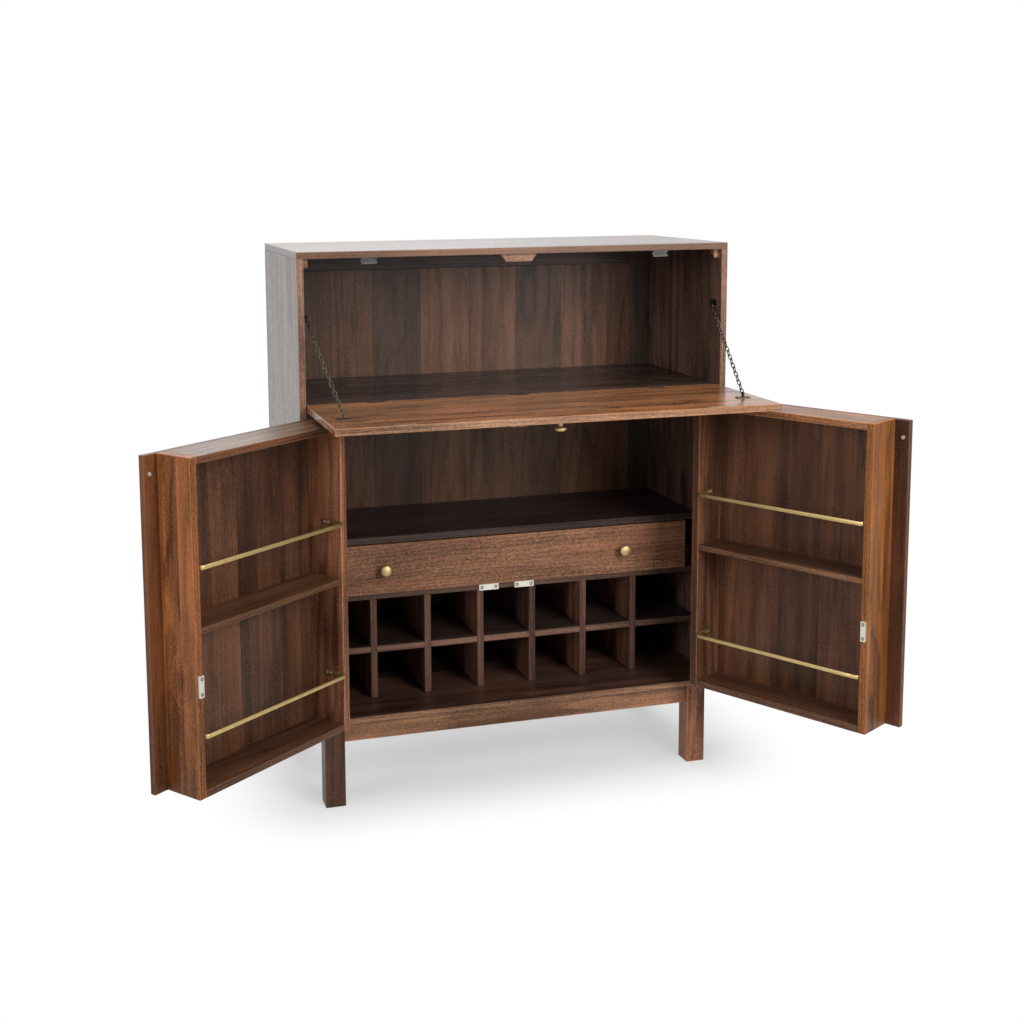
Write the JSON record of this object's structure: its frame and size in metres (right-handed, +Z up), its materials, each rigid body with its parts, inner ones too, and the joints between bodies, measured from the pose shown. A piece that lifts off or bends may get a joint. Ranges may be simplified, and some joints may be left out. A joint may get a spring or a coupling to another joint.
{
  "type": "bar armoire",
  "caption": "Wooden bar cabinet on square legs: a chained drop flap over a serving bay, two doors that carry railed bottle boxes, a drawer and a halved bottle rack.",
  "frame": {"origin": "on the floor, under the middle of the case's footprint", "axes": "+Z up; the armoire faces -Y; +X is on the right as seen from the front"},
  "size_m": [1.6009, 0.8925, 1.257],
  "materials": {
    "wood": "satin oiled walnut",
    "panel_wood": "satin oiled walnut panel",
    "brass": "aged brass",
    "bronze": "dark bronze",
    "steel": "zinc plated",
    "bumper": "white felt or rubber dot"
  },
  "bodies": {
    "case": {"back_panel": "panel_wood", "back_rails": "wood", "back_stiles": "wood", "bay_floor": "wood", "bottom_panel": "wood", "chain_wall_plates": "bronze", "door_hinge_case_leaves": "bronze", "door_strike_plates": "steel", "drawer_back": "wood", "drawer_bottom": "panel_wood", "drawer_front": "wood", "drawer_guides": "wood", "drawer_knobs": "brass", "drawer_shelf": "wood", "drawer_sides": "wood", "flap_catches": "steel", "flap_hinge_fixed_leaves": "bronze", "front_apron": "wood", "front_left_leg": "wood", "front_right_leg": "wood", "left_chain": "bronze", "left_side_panel": "wood", "rack_dividers": "wood", "rack_middle_shelf": "wood", "rack_top_shelf": "wood", "rear_apron": "wood", "rear_left_leg": "wood", "rear_right_leg": "wood", "right_chain": "bronze", "right_side_panel": "wood", "side_aprons": "wood", "stop_blocks": "wood", "top_panel": "wood"},
    "flap": {"flap_panel": "wood", "flap_knob": "brass", "flap_strike_plates": "steel", "flap_hinge_moving_leaves": "bronze", "chain_flap_plates": "bronze"},
    "left_door": {"left_door_bottom_board": "wood", "left_door_bumper": "bumper", "left_door_catch": "steel", "left_door_gallery_rails": "brass", "left_door_hinge_board": "wood", "left_door_hinge_leaves": "bronze", "left_door_latch_board": "wood", "left_door_panel": "wood", "left_door_shelf": "wood", "left_door_top_board": "wood"},
    "right_door": {"right_door_bottom_board": "wood", "right_door_bumper": "bumper", "right_door_catch": "steel", "right_door_gallery_rails": "brass", "right_door_hinge_board": "wood", "right_door_hinge_leaves": "bronze", "right_door_latch_board": "wood", "right_door_panel": "wood", "right_door_shelf": "wood", "right_door_top_board": "wood"}
  },
  "joints": [
    {"name": "flap_hinge", "type": "hinge", "parent": "case", "child": "flap", "pos_m": [0, -0.205, 0.923], "axis": [-1, 0, 0], "range_deg": [0, 90], "deforming": ["left_chain", "right_chain"]},
    {"name": "left_door_hinge", "type": "hinge", "parent": "case", "child": "left_door", "pos_m": [-0.4905, -0.2235, 0.554], "axis": [0, 0, -1], "range_deg": [-142, 33]},
    {"name": "right_door_hinge", "type": "hinge", "parent": "case", "child": "right_door", "pos_m": [0.4905, -0.2235, 0.554], "axis": [0, 0, 1], "range_deg": [-119.5, 55.5]}
  ]
}
